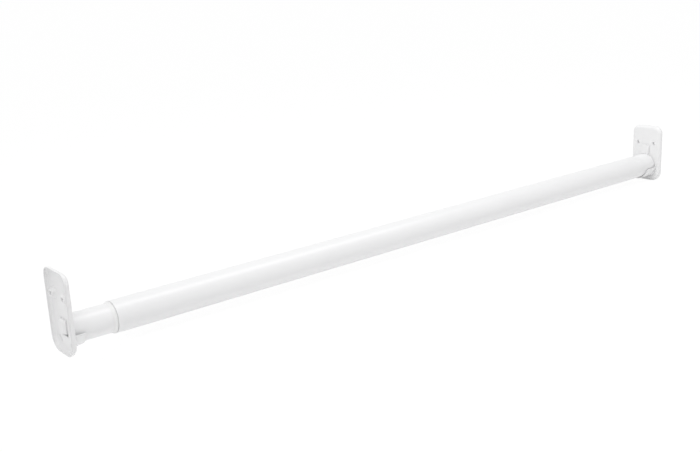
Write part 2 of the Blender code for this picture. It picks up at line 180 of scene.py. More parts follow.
def cut_away(piece, bm):
    """Cuts the closed shape in bm out of the piece."""
    shape = bpy.data.meshes.new("cutter")
    bm.to_mesh(shape)
    bm.free()
    tool = bpy.data.objects.new("cutter", shape)
    bpy.context.collection.objects.link(tool)
    cut = piece.modifiers.new("cut", "BOOLEAN")
    cut.operation = "DIFFERENCE"
    cut.solver = "EXACT"
    cut.object = tool
    piece.data = evaluated(piece)
    bpy.data.objects.remove(tool)
    piece.data.shade_smooth()
    piece.data.set_sharp_from_angle(angle=SHARP_EDGE)


def drilled(piece, x, low, high, bore):
    """Drills an upright hole through the piece between two heights."""
    bm = bmesh.new()
    bmesh.ops.create_cone(
        bm,
        cap_ends=True,
        segments=RIVET_HOLE_FACETS,
        radius1=bore / 2,
        radius2=bore / 2,
        depth=high - low,
        matrix=Matrix.Translation((x, 0.0, (low + high) / 2)),
    )
    cut_away(piece, bm)


def notched(piece, end_x, radius):
    """Notches the top of a tube's end at end_x, to let the clip's tail out."""
    bm = bmesh.new()
    size = Matrix.Diagonal((2 * NOTCH_DEPTH, NOTCH_WIDTH, 2 * radius, 1.0))
    bmesh.ops.create_cube(bm, size=1.0, matrix=Matrix.Translation((end_x, 0.0, radius)) @ size)
    cut_away(piece, bm)


class Shade:
    """An output of shader nodes. Arithmetic on it adds Math nodes."""

    def __init__(self, tree, socket=None):
        self.tree = tree
        self.socket = socket

    def node(self, kind, settings, sockets, output=0):
        """Adds a node with its settings, then the values or links of its sockets, and gives an output."""
        made = self.tree.nodes.new("ShaderNode" + kind)
        for name, value in settings.items():
            setattr(made, name, value)
        for name, value in sockets.items():
            if isinstance(value, Shade):
                self.tree.links.new(value.socket, made.inputs[name])
            else:
                made.inputs[name].default_value = value
        return Shade(self.tree, made.outputs[output])

    def maths(self, operation, *values):
        """A Math node on numbers and other outputs."""
        return self.node("Math", {"operation": operation}, dict(enumerate(values)))

    def __add__(self, other):
        return self.maths("ADD", self, other)

    def __sub__(self, other):
        return self.maths("SUBTRACT", self, other)

    def __rsub__(self, other):
        return self.maths("SUBTRACT", other, self)

    def __mul__(self, other):
        return self.maths("MULTIPLY", self, other)

    __radd__ = __add__
    __rmul__ = __mul__

    def clamped(self):
        """The value kept between 0 and 1."""
        return self.maths("MINIMUM", self.maths("MAXIMUM", self, 0.0), 1.0)

    def tint(self, low, high):
        """A colour from low at 0 to high at 1, which are sockets 6 and 7 of a Mix node with output 2."""
        ends = {0: self, 6: (*low, 1.0), 7: (*high, 1.0)}
        return self.node("Mix", {"data_type": "RGBA"}, ends, 2)

    def noise(self, scale, detail):
        """Noise over the coordinates that this output gives, in lumps per metre."""
        return self.node("TexNoise", {}, {"Vector": self, "Scale": scale, "Detail": detail})

    def nibs(self, scale, sharpness):
        """Round specks over these coordinates, 1 in their middle and smaller for a higher sharpness."""
        gap = self.node("TexVoronoi", {}, {"Vector": self, "Scale": scale}, "Distance")
        return (1 - gap * sharpness).clamped()

    def stretched(self, scale):
        """These coordinates scaled along each axis: a low scale draws a pattern out."""
        return self.node("Mapping", {}, {"Vector": self, "Scale": scale})

    def bump(self, depth):
        """A normal for this height of 0 to 1, where 1 stands for depth in metres."""
        return self.node("Bump", {}, {"Height": self, "Strength": 1.0, "Distance": depth}, "Normal")


def finish(name, fixed):
    """A Principled material with fixed socket values, and its object coordinates to shade by."""
    material = bpy.data.materials.new(name)
    material.use_nodes = True
    surface = material.node_tree.nodes["Principled BSDF"]
    for socket, value in fixed.items():
        surface.inputs[socket].default_value = value
    place = Shade(material.node_tree).node("TexCoord", {}, {}, "Object")
    return material, surface, place


def feed(surface, **shades):
    """Links shades to the surface's sockets, named with _ for a space."""
    for name, shade in shades.items():
        shade.tree.links.new(shade.socket, surface.inputs[name.replace("_", " ")])


ENAMEL_WHITE = (0.875, 0.875, 0.878)
ENAMEL_THIN = (0.845, 0.845, 0.852)
ENAMEL_IOR = 1.5
TUBE_ROUGHNESS = 0.24
TUBE_MOTTLE_SCALE = 30.0
TUBE_PEEL_SCALE = 620.0
TUBE_PEEL_DEPTH = 0.00002
TUBE_NIB_SCALE = 85.0
TUBE_NIB_SHARPNESS = 14.0
DRAWN_LINE_SCALE = 900.0
DRAWN_LINE_STRETCH = (0.006, 1.0, 1.0)


def tube_enamel():
    """White enamel on drawn tube: orange peel over faint lines along the rod, and a few dust nibs."""
    material, surface, place = finish("tube_enamel", {"IOR": ENAMEL_IOR})
    mottle = place.noise(TUBE_MOTTLE_SCALE, detail=3.0)
    peel = place.noise(TUBE_PEEL_SCALE, detail=1.5)
    lines = place.stretched(DRAWN_LINE_STRETCH).noise(DRAWN_LINE_SCALE, detail=2.0)
    nib = place.nibs(TUBE_NIB_SCALE, TUBE_NIB_SHARPNESS)
    feed(
        surface,
        Base_Color=(mottle * 0.7 + lines * 0.3).tint(ENAMEL_THIN, ENAMEL_WHITE),
        Roughness=TUBE_ROUGHNESS + peel * 0.08 + lines * 0.05,
        Normal=(peel * 0.6 + lines * 0.2 + nib * 0.8).bump(TUBE_PEEL_DEPTH),
    )
    return material


TUBE_ENAMEL = tube_enamel()


def tube_wall(low, high, radius, wall, edge):
    """The corners of a tube's wall in section, rounded at both ends."""
    return [
        (low, radius, edge),
        (high, radius, edge),
        (high, radius - wall, edge),
        (low, radius - wall, edge),
    ]


outer_low, outer_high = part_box("outer_tube")
outer_radius = outer_high.z
right_rivet_x = (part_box("right_rivet")[0].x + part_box("right_rivet")[1].x) / 2
section = tube_wall(outer_low.x, outer_high.x, outer_radius, OUTER_TUBE_WALL, OUTER_TUBE_EDGE)
# A ring of points beside the rivet, on both sides of the wall, so that its hole cuts into short faces only
section[1:1] = [(right_rivet_x - RIVET_HOLE, outer_radius, 0.0)]
section[4:4] = [(right_rivet_x - RIVET_HOLE, outer_radius - OUTER_TUBE_WALL, 0.0)]
outer_tube = turned("outer_tube_drawn", rounded(section), TUBE_FACETS, TUBE_ENAMEL, ALONG_ROD)
drilled(outer_tube, right_rivet_x, -2 * outer_radius, 0.0, RIVET_HOLE)
notched(outer_tube, outer_high.x, outer_radius)
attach(outer_tube, "outer_rod")
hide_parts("outer_tube")

# Mouth collar. A sleeve moulded in white polythene, pressed into the outer tube's mouth, so that the inner
# tube slides in it without rattling. Its tapered nose meets the mouth at a narrow groove.

COLLAR_NOSE = 0.0032
COLLAR_NOSE_CURVE = 1.5
COLLAR_NOSE_STEPS = 12
COLLAR_LIP = 0.001
COLLAR_LIP_WALL = 0.00006
COLLAR_LIP_GAP = 0.00003
COLLAR_SHOULDER_DROP = 0.0001
COLLAR_SHOULDER_ROUND = 0.0003
COLLAR_END_ROUND = 0.0002
COLLAR_BORE_ROUND = 0.0001
COLLAR_GAP = 0.00015
MOUTH_GROOVE = 0.0005
POLYTHENE_WHITE = (0.87, 0.87, 0.87)
POLYTHENE_DULL = (0.84, 0.84, 0.835)
POLYTHENE_IOR = 1.51
POLYTHENE_ROUGHNESS = 0.38
POLYTHENE_GRAIN_SCALE = 2600.0
POLYTHENE_GRAIN_DEPTH = 0.000012
POLYTHENE_FLOW_SCALE = 160.0
POLYTHENE_FLOW_STRETCH = (0.4, 1.0, 1.0)


def polythene():
    """Satin white polythene: a fine spark-eroded grain and slow flow marks."""
    material, surface, place = finish("collar_polythene", {"IOR": POLYTHENE_IOR})
    grain = place.noise(POLYTHENE_GRAIN_SCALE, detail=2.0)
    flow = place.stretched(POLYTHENE_FLOW_STRETCH).noise(POLYTHENE_FLOW_SCALE, detail=2.0)
    feed(
        surface,
        Base_Color=flow.tint(POLYTHENE_DULL, POLYTHENE_WHITE),
        Roughness=POLYTHENE_ROUGHNESS + grain * 0.12,
        Normal=(grain * 0.5 + flow * 0.2).bump(POLYTHENE_GRAIN_DEPTH),
    )
    return material


collar_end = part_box("mouth_collar")[1].x
inner_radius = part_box("inner_tube")[1].z
collar_bore = inner_radius + COLLAR_GAP
collar_sleeve = outer_radius - OUTER_TUBE_WALL - COLLAR_GAP
collar_shoulder = outer_low.x - MOUTH_GROOVE
collar_tip = collar_shoulder - COLLAR_NOSE
lip_bore = inner_radius + COLLAR_LIP_GAP
lip_radius = lip_bore + COLLAR_LIP_WALL
nose_rise = outer_radius - COLLAR_SHOULDER_DROP - lip_radius
collar_section = []
for i in range(COLLAR_NOSE_STEPS):
    share = i / COLLAR_NOSE_STEPS
    rise = nose_rise * share**COLLAR_NOSE_CURVE
    collar_section.append((collar_tip + COLLAR_NOSE * share, lip_radius + rise, 0.0))
collar_section += [
    (collar_shoulder, lip_radius + nose_rise, COLLAR_SHOULDER_ROUND),
    (collar_shoulder, collar_sleeve, 0.0),
    (collar_end, collar_sleeve, COLLAR_END_ROUND),
    (collar_end, collar_bore, COLLAR_BORE_ROUND),
    (collar_tip + COLLAR_LIP, collar_bore, 0.0),
    (collar_tip, lip_bore, 0.0),
]
collar = turned("mouth_collar_moulded", rounded(collar_section), TUBE_FACETS, polythene(), ALONG_ROD)
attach(collar, "outer_rod")
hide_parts("mouth_collar")

# Inner tube. The same enamelled steel tube in the next size down. A bead rolled in near its hidden end holds
# the guide plug, and its other end is notched too and lies in the left-hand cradle with a rivet.

INNER_TUBE_WALL = 0.0008
INNER_TUBE_EDGE = 0.0003
BEAD_FROM_END = 0.007
BEAD_WIDTH = 0.003
BEAD_DEPTH = 0.0005
BEAD_STEPS = 12


def rolled_bead(middle, radius):
    """Points along the bead, which dips smoothly from a radius."""
    shares = [2 * i / BEAD_STEPS - 1 for i in range(BEAD_STEPS + 1)]
    return [(middle + BEAD_WIDTH / 2 * s, radius - BEAD_DEPTH * (1 + cos(pi * s)) / 2, 0.0) for s in shares]


inner_low, inner_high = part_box("inner_tube")
left_rivet_x = (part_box("left_rivet")[0].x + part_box("left_rivet")[1].x) / 2
bead_x = inner_high.x - BEAD_FROM_END
section = tube_wall(inner_low.x, inner_high.x, inner_radius, INNER_TUBE_WALL, INNER_TUBE_EDGE)
past_rivet = left_rivet_x + RIVET_HOLE
inner_bore = inner_radius - INNER_TUBE_WALL
section[3:3] = [*reversed(rolled_bead(bead_x, inner_bore)), (past_rivet, inner_bore, 0.0)]
section[1:1] = [(past_rivet, inner_radius, 0.0), *rolled_bead(bead_x, inner_radius)]
inner_tube = turned("inner_tube_drawn", rounded(section), TUBE_FACETS, TUBE_ENAMEL, ALONG_ROD)
drilled(inner_tube, left_rivet_x, -2 * inner_radius, 0.0, RIVET_HOLE)
notched(inner_tube, inner_low.x, inner_radius)
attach(inner_tube, "inner_rod")
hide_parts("inner_tube")

# Guide plug. A hollow plug moulded in undyed nylon, snapped into the hidden end of the inner tube. It keeps
# that end in the middle of the outer tube.

NYLON_PALE = (0.82, 0.80, 0.745)
NYLON_DEEP = (0.77, 0.745, 0.675)
NYLON_IOR = 1.53
NYLON_ROUGHNESS = 0.4
NYLON_CLOUD_SCALE = 220.0
NYLON_FLOW_SCALE = 700.0
NYLON_FLOW_STRETCH = (0.2, 1.0, 1.0)
NYLON_FLOW_DEPTH = 0.00001


def nylon():
    """Undyed nylon: cloudy, a little waxy, with flow marks along the moulding."""
    material, surface, place = finish("plug_nylon", {"IOR": NYLON_IOR})
    cloud = place.noise(NYLON_CLOUD_SCALE, detail=3.0)
    flow = place.stretched(NYLON_FLOW_STRETCH).noise(NYLON_FLOW_SCALE, detail=2.0)
    feed(
        surface,
        Base_Color=cloud.tint(NYLON_DEEP, NYLON_PALE),
        Roughness=NYLON_ROUGHNESS + flow * 0.15,
        Normal=flow.bump(NYLON_FLOW_DEPTH),
    )
    return material


plug_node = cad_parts["guide_plug"]
plug_node.data.materials.clear()
plug_node.data.materials.append(nylon())

# Wall plates. Each is pressed from steel sheet: its rim turned back to the wall, two screw holes drawn out
# into necks that stop short of the wall, slots punched for the clip and the cradle's lugs, then enamelled.
# Here x runs from the wall into the room.

PLATE_SHEET = 0.0012
PLATE_BEND = 0.0036
PLATE_TOP_CORNER = 0.0085
PLATE_FOOT_CORNER = 0.0118
PLATE_CUT_EDGE = 0.0002
CUT_EDGE_STEPS = 2
CUT_EDGE_FROM = radians(50)
PRESSED_SHARP_EDGE = radians(60)
CORNER_STEPS = 14
BEND_STEPS = 9
RUN_STEP = 0.0014
SCREW_HOLE = 0.0038
SCREW_HOLE_FACETS = 48
SCREW_SPACING = 0.0221
SCREW_HEIGHT = 0.0274
SCREW_CENTRES = ((-SCREW_SPACING / 2, SCREW_HEIGHT), (SCREW_SPACING / 2, SCREW_HEIGHT))
FUNNEL_RUN = 0.0006
FUNNEL_DEPTH = 0.001
NECK_WALL = 0.001
NECK_RUN = 0.002
NECK_RINGS = 16
NECK_RING_SPARE = 0.0003
WALL_CLEARANCE = 0.0003
WEB_STEP = 0.0015
TRIANGLES_INSIDE = 1
CLIP_WIDTH = 0.0105
CLIP_SHEET = 0.0012
CLIP_CROSSING = 0.0076
CLIP_LEG_DROP = 0.0028
LOWER_SLOT_SPARE = 0.0024
CLIP_SLOT_GAP = 0.0001
SEAT_GAP = 0.0003
SLOT_CORNER = 0.0004
SLOT_CORNER_STEPS = 3
CRADLE_BORE = 0.0138
CRADLE_SHEET = 0.0012
LUG_WIDTH = 0.005
LUG_TILT = radians(45)
LUG_SLOT_GAP = 1.5 * SEAT_GAP

plate_low, plate_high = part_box("right_wall_plate")
PLATE_DEPTH = plate_high.x - plate_low.x
PLATE_RECESS = PLATE_DEPTH - PLATE_SHEET
LEFT_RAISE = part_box("left_wall_plate")[1].z - plate_high.z
BRACKETS = (
    ("right", "outer_rod", Matrix.Rotation(pi, 4, "Z")),
    ("left", "inner_rod", Matrix.Translation((cad_low.x, 0.0, LEFT_RAISE))),
)


def arc(centre, radius, start, stop, steps):
    """Points round a centre from one angle to another."""
    angles = [start + (stop - start) * i / steps for i in range(steps + 1)]
    return [(centre[0] + radius * cos(a), centre[1] + radius * sin(a)) for a in angles]


def circle(centre, radius, facets, start=0.0):
    """Points all the way round a centre."""
    return arc(centre, radius, start, start + 2 * pi, facets)[:-1]


def plate_outline(inset):
    """Points (y, z) round the plate, closely spaced and set in from its edge."""
    corners = []
    for side, edge, corner, start in (
        (1, plate_high.z, PLATE_TOP_CORNER, 0.0),
        (-1, plate_high.z, PLATE_TOP_CORNER, pi / 2),
        (-1, plate_low.z, PLATE_FOOT_CORNER, pi),
        (1, plate_low.z, PLATE_FOOT_CORNER, 3 * pi / 2),
    ):
        inwards = -corner if edge > 0 else corner
        centre = (side * (plate_high.y - corner), edge + inwards)
        corners.append(arc(centre, corner - inset, start, start + pi / 2, CORNER_STEPS))
    points = []
    for here, there in zip(corners, corners[1:] + corners[:1]):
        run = Vector(there[0]) - Vector(here[-1])
        count = int(run.length / RUN_STEP)
        points += here
        points += [tuple(Vector(here[-1]) + run * i / count) for i in range(1, count)]
    return points


def inside(point, loop):
    """Whether a point lies in a closed loop of points."""
    crossings = 0
    for (ay, az), (by, bz) in zip(loop, loop[1:] + loop[:1]):
        if (az > point[1]) != (bz > point[1]):
            crossings += point[0] < ay + (point[1] - az) * (by - ay) / (bz - az)
    return crossings % 2 == 1


def nearest(point, others):
    """How far a point is from the nearest of the others."""
    return min(hypot(point[0] - other[0], point[1] - other[1]) for other in others)


def blank(outline, holes, seeds):
    """A flat blank in small triangles: its points, and its faces as numbers of points."""
    points = []
    edges = []
    for loop in (outline, *holes):
        first = len(points)
        count = len(loop)
        points += [Vector(point) for point in loop]
        edges += [(first + i, first + (i + 1) % count) for i in range(count)]
    points += [Vector(seed) for seed in seeds]
    places, _, faces, *_ = delaunay_2d_cdt(points, edges, [], TRIANGLES_INSIDE, LEAST_EDGE)
    kept = []
    for face in faces:
        middle = sum((places[i] for i in face), Vector((0.0, 0.0))) / len(face)
        if not any(inside(middle, hole) for hole in holes):
            kept.append(tuple(face))
    return [tuple(place) for place in places], kept


def pressed(name, front, back, faces, cut_edge, material, placed):
    """A piece of sheet from its two sides, joined along every cut edge, which is marked for its enamel.
    A bevel of cut_edge breaks those edges, unless it is 0."""
    count = len(front)
    sides = {(face[i - 1], face[i]) for face in faces for i in range(len(face))}
    cut = [(a, b) for a, b in sides if (b, a) not in sides]
    skin = [*faces, *(tuple(i + count for i in reversed(face)) for face in faces)]
    skin += [(b, a, a + count, b + count) for a, b in cut]
    mesh = bpy.data.meshes.new(name)
    mesh.from_pydata([*front, *back], [], skin)
    rim = mesh.attributes.new("cut_edge", "FLOAT", "POINT")
    for a, _ in cut:
        rim.data[a].value = 1.0
        rim.data[a + count].value = 1.0
    mesh.materials.append(material)
    piece = bpy.data.objects.new(name, mesh)
    bpy.context.collection.objects.link(piece)
    if cut_edge:
        broken = piece.modifiers.new("broken edge", "BEVEL")
        broken.width = cut_edge
        broken.segments = CUT_EDGE_STEPS
        broken.limit_method = "ANGLE"
        broken.angle_limit = CUT_EDGE_FROM
        broken.use_clamp_overlap = False
        piece.data = evaluated(piece)
    piece.data.transform(placed)
    closed_smooth(piece.data, PRESSED_SHARP_EDGE)
    return piece


def slot_loop(centre, half, turn=0.0):
    """A punched slot with rounded corners, as points (y, z)."""
    corners = []
    for side, rise, start in ((1, 1, 0.0), (-1, 1, pi / 2), (-1, -1, pi), (1, -1, 3 * pi / 2)):
        middle = (side * (half[0] - SLOT_CORNER), rise * (half[1] - SLOT_CORNER))
        corners += arc(middle, SLOT_CORNER, start, start + pi / 2, SLOT_CORNER_STEPS)
    spun = [(y * cos(turn) - z * sin(turn), y * sin(turn) + z * cos(turn)) for y, z in corners]
    return [(centre[0] + y, centre[1] + z) for y, z in spun]


def clip_slot(height, spare):
    """The slot that the clip passes through at a height, with room below to thread it."""
    half_height = (CLIP_SHEET + spare) / 2 + CLIP_SLOT_GAP
    return slot_loop((0.0, height - spare / 2), (CLIP_WIDTH / 2 + CLIP_SLOT_GAP, half_height))


def lug_slot(side):
    """The slot for one of the cradle's lugs, set round with it."""
    out = CRADLE_BORE + CRADLE_SHEET / 2
    turn = side * LUG_TILT
    half = (LUG_WIDTH / 2 + SEAT_GAP, CRADLE_SHEET / 2 + LUG_SLOT_GAP)
    return slot_loop((out * sin(turn), -out * cos(turn)), half, turn)


def held(value):
    """A value held between 0 and 1."""
    return min(max(value, 0.0), 1.0)


def eased(share):
    """A share from 0 to 1 that starts and ends smoothly."""
    return share * share * (3 - 2 * share)


def screw_neck(y, z):
    """How far the sheet is drawn to the wall near the screw holes, on its room side and on its wall side."""
    away = nearest((y, z), SCREW_CENTRES) - SCREW_HOLE / 2
    lip = held(1 - away / FUNNEL_RUN)
    flank = held((away - NECK_WALL) / NECK_RUN)
    room_side = FUNNEL_DEPTH * (1 - sqrt(1 - lip * lip))
    wall_side = (PLATE_RECESS - WALL_CLEARANCE) * (1 - eased(flank))
    return room_side, wall_side


def plate_seeds(web, holes):
    """Points inside the plate's web: rings round the screw holes and a staggered grid elsewhere."""
    seeds = []
    reach = NECK_WALL + NECK_RUN + NECK_RING_SPARE
    for centre in SCREW_CENTRES:
        for ring in range(1, NECK_RINGS + 1):
            radius = SCREW_HOLE / 2 + reach * ring / NECK_RINGS
            start = pi / SCREW_HOLE_FACETS * (ring % 2)
            seeds += circle(centre, radius, SCREW_HOLE_FACETS, start)
    edge_points = [point for loop in (web, *holes) for point in loop]
    rows = int((plate_high.z - plate_low.z) / WEB_STEP)
    columns = int(2 * plate_high.y / WEB_STEP)
    for row in range(rows):
        for column in range(columns):
            seed = (-plate_high.y + (column + row % 2 / 2) * WEB_STEP, plate_low.z + row * WEB_STEP)
            clear = nearest(seed, SCREW_CENTRES) > SCREW_HOLE / 2 + reach + WEB_STEP / 2
            if clear and nearest(seed, edge_points) > WEB_STEP / 2 and inside(seed, web):
                seeds.append(seed)
    return seeds


ENAMEL_OVER_EDGE = (0.80, 0.80, 0.805)
PRESSING_ROUGHNESS = 0.28
PRESSING_MOTTLE_SCALE = 60.0
PRESSING_PEEL_SCALE = 520.0
PRESSING_PEEL_DEPTH = 0.00003
PRESSING_NIB_SCALE = 110.0
PRESSING_NIB_SHARPNESS = 12.0


def pressing_enamel():
    """White enamel on pressed sheet: heavier peel than on the tube, and thin over the cut edges."""
    material, surface, place = finish("pressing_enamel", {"IOR": ENAMEL_IOR})
    mottle = place.noise(PRESSING_MOTTLE_SCALE, detail=3.0)
    peel = place.noise(PRESSING_PEEL_SCALE, detail=1.5)
    nib = place.nibs(PRESSING_NIB_SCALE, PRESSING_NIB_SHARPNESS)
    edge = place.node("Attribute", {"attribute_name": "cut_edge"}, {}, "Fac")
    thin = (1 - edge) * (0.6 + mottle * 0.4)
    feed(
        surface,
        Base_Color=thin.tint(ENAMEL_OVER_EDGE, ENAMEL_WHITE),
        Roughness=PRESSING_ROUGHNESS + peel * 0.1 + edge * 0.08,
        Normal=(peel * 0.7 + nib * 0.6).bump(PRESSING_PEEL_DEPTH),
    )
    return material


PRESSING_ENAMEL = pressing_enamel()


def wall_plate(name, placed):
    """One plate: the web with its holes, then the bend and the rim round it in rings."""
    web = plate_outline(PLATE_BEND)
    holes = [clip_slot(CLIP_CROSSING, 0.0), clip_slot(-CLIP_LEG_DROP, LOWER_SLOT_SPARE)]
    for side, centre in zip((-1, 1), SCREW_CENTRES):
        holes.append(circle(centre, SCREW_HOLE / 2, SCREW_HOLE_FACETS))
        holes.append(lug_slot(side))
    places, faces = blank(web, holes, plate_seeds(web, holes))
    drawn = [screw_neck(y, z) for y, z in places]
    front = [(PLATE_DEPTH - room_side, y, z) for (y, z), (room_side, _) in zip(places, drawn)]
    back = [(PLATE_RECESS - wall_side, y, z) for (y, z), (_, wall_side) in zip(places, drawn)]
    bend_x = PLATE_DEPTH - PLATE_BEND
    inner_bend = PLATE_BEND - PLATE_SHEET
    rings = []
    for i in range(1, BEND_STEPS + 1):
        turn = pi / 2 * (1 - i / BEND_STEPS)
        outer = (bend_x + PLATE_BEND * sin(turn), PLATE_BEND * (1 - cos(turn)))
        inner = (bend_x + inner_bend * sin(turn), PLATE_BEND - inner_bend * cos(turn))
        rings.append((outer, inner))
    rings.append(((0.0, 0.0), (0.0, PLATE_SHEET)))
    count = len(web)
    last = list(range(count))
    for (front_x, front_inset), (back_x, back_inset) in rings:
        first = len(front)
        front += [(front_x, y, z) for y, z in plate_outline(front_inset)]
        back += [(back_x, y, z) for y, z in plate_outline(back_inset)]
        ring = list(range(first, first + count))
        faces += [(last[i - 1], ring[i - 1], ring[i], last[i]) for i in range(count)]
        last = ring
    return pressed(name, front, back, faces, PLATE_CUT_EDGE, PRESSING_ENAMEL, placed)


for side, body, placed in BRACKETS:
    plate = wall_plate(f"{side}_wall_plate_pressed", placed)
    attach(plate, body)
    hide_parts(f"{side}_wall_plate")

# Cradles. A strip of the same sheet bent half round under each tube end, longer under the thick tube, with
# its lips flared out. Two lugs at its back are staked in the plate, and the rivet goes up through it.

CRADLE_BACK = PLATE_DEPTH + SEAT_GAP
CRADLE_LENGTHS = {"right": 0.0172, "left": 0.0092}
CRADLE_CORNERS = {"right": 0.005, "left": 0.0012}
CRADLE_LIP_BELOW_AXIS = 0.0018
CRADLE_FLARE = 0.001
CRADLE_FLARE_RUN = 0.006
CRADLE_STEP = 0.0009
CRADLE_CORNER_STEPS = 8
RIVET_FROM_WALL = -right_rivet_x


def cradle_outline(half, front, corner):
    """The cradle's flat blank: points (round the tube, from the wall), with a lug each side at its back."""
    lug = CRADLE_BORE * LUG_TILT
    turns = [(-half, CRADLE_BACK)]
    for middle in (-lug, lug):
        near = middle - LUG_WIDTH / 2
        far = middle + LUG_WIDTH / 2
        turns += [(near, CRADLE_BACK), (near, PLATE_RECESS), (far, PLATE_RECESS), (far, CRADLE_BACK)]
    turns.append((half, CRADLE_BACK))
    turns += arc((half - corner, front - corner), corner, 0.0, pi / 2, CRADLE_CORNER_STEPS)
    turns += arc((corner - half, front - corner), corner, pi / 2, pi, CRADLE_CORNER_STEPS)
    points = []
    for here, there in zip(turns, turns[1:] + turns[:1]):
        run = Vector(there) - Vector(here)
        count = max(1, round(run.length / CRADLE_STEP))
        points += [tuple(Vector(here) + run * i / count) for i in range(count)]
    return points


def cradle(name, front, corner, placed):
    """One cradle: its blank with the rivet's hole, bent round under the tube with its lips flared out."""
    half = CRADLE_BORE * acos(CRADLE_LIP_BELOW_AXIS / CRADLE_BORE)
    outline = cradle_outline(half, front, corner)
    hole = circle((0.0, RIVET_FROM_WALL), RIVET_HOLE / 2, RIVET_HOLE_FACETS)
    seeds = []
    columns = int(half / CRADLE_STEP)
    rows = int((front - PLATE_RECESS) / CRADLE_STEP)
    for column in range(-columns, columns + 1):
        for row in range(rows + 1):
            seed = (column * CRADLE_STEP, PLATE_RECESS + (row + column % 2 / 2) * CRADLE_STEP)
            if nearest(seed, outline + hole) > CRADLE_STEP / 2 and inside(seed, outline):
                seeds.append(seed)
    places, faces = blank(outline, [hole], seeds)
    shells = []
    for shell in (CRADLE_BORE + CRADLE_SHEET, CRADLE_BORE):
        points = []
        for s, x in places:
            radius = shell + CRADLE_FLARE * max(0.0, 1 + (abs(s) - half) / CRADLE_FLARE_RUN) ** 2
            points.append((x, radius * sin(s / CRADLE_BORE), -radius * cos(s / CRADLE_BORE)))
        shells.append(points)
    return pressed(name, *shells, faces, PLATE_CUT_EDGE, PRESSING_ENAMEL, placed)


for side, body, placed in BRACKETS:
    bent = cradle(f"{side}_cradle_bent", CRADLE_BACK + CRADLE_LENGTHS[side], CRADLE_CORNERS[side], placed)
    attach(bent, body)
    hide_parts(f"{side}_cradle")

# Tube clips. A bent strip of sheet through both slots of its plate. Its tail braces the plate on the room
# side over the tube, its back lies behind the plate with its edges turned in, and its leg goes down into the
# tube, where the rivet takes its pad.

CLIP_TAIL_LENGTH = 0.0175
CLIP_TAIL_RISE = 0.001
CLIP_KNEE = 0.001
CLIP_PAD_WIDTH = 0.005
CLIP_PAD_LENGTH = 0.005
CLIP_BEND = 0.0012
CLIP_BEND_STEPS = 8
CLIP_TIP_CORNER = 0.0012
CLIP_WALL_ROOM = 0.001
CLIP_EDGE_GAP = 0.00002
CLIP_CUT_EDGE = 0.0001
CLIP_EDGE_BEND = 0.001
CLIP_EDGE_WIDTH = 0.0014
# Shares of half the strip's width, closest together where its edges turn in
CLIP_COLUMNS = [-1.0, -0.98, -0.94, -0.9, -0.86, -0.82, -0.78, -0.73, -0.4]
CLIP_COLUMNS += [0.0, *(-share for share in reversed(CLIP_COLUMNS))]


def clip_bends(pad, at_edge):
    """The clip's line from its tail to its pad, as points (x, z), with rounded bends. Its back stands off
    the plate in the middle, where at_edge is 0, and lies on it along the edges, where at_edge is 1."""
    middle = CLIP_WALL_ROOM + CLIP_SHEET / 2
    edge = PLATE_RECESS - CLIP_EDGE_GAP - CLIP_SHEET / 2
    back = middle + (edge - middle) * at_edge
    bend = CLIP_BEND + (CLIP_EDGE_BEND - CLIP_BEND) * at_edge
    tail = PLATE_DEPTH + SEAT_GAP + CLIP_SHEET / 2
    pad_start = RIVET_FROM_WALL - CLIP_PAD_LENGTH / 2
    pad_end = RIVET_FROM_WALL + CLIP_PAD_LENGTH / 2
    corners = [
        (tail, CLIP_CROSSING + CLIP_TAIL_LENGTH, 0.0),
        (PLATE_DEPTH + CLIP_TAIL_RISE, CLIP_CROSSING, CLIP_BEND),
        (back, CLIP_CROSSING, bend),
        (back, -CLIP_LEG_DROP, bend),
        (PLATE_DEPTH + CLIP_KNEE, -CLIP_LEG_DROP, CLIP_BEND),
        (pad_start, pad, CLIP_BEND),
        (pad_end, pad, 0.0),
    ]
    return rounded(corners, closed=False, steps=CLIP_BEND_STEPS)


def clip_path(bends, counts):
    """The bends as a path, with the run up to each bend point cut in its count of steps, and a short step at
    both tips for their broken edges."""
    path = [bends[0]]
    for there, count in zip(bends[1:], counts):
        here = path[-1]
        path += [here.lerp(there, i / count) for i in range(1, count + 1)]
    path.insert(1, path[0] + (path[1] - path[0]).normalized() * CLIP_CUT_EDGE)
    path.insert(-1, path[-1] + (path[-2] - path[-1]).normalized() * CLIP_CUT_EDGE)
    return path


def clip_half_width(done, left, depth):
    """Half the clip's width: rounded at both tips, and drawn in from the plate to the pad in the tube."""
    drawn_in = held((depth - PLATE_DEPTH - CLIP_KNEE) / CLIP_PAD_LENGTH)
    half = CLIP_WIDTH / 2 + (CLIP_PAD_WIDTH - CLIP_WIDTH) / 2 * drawn_in
    tip = CLIP_TIP_CORNER - min(done, left, CLIP_TIP_CORNER)
    return half - CLIP_TIP_CORNER + sqrt(CLIP_TIP_CORNER**2 - tip**2)


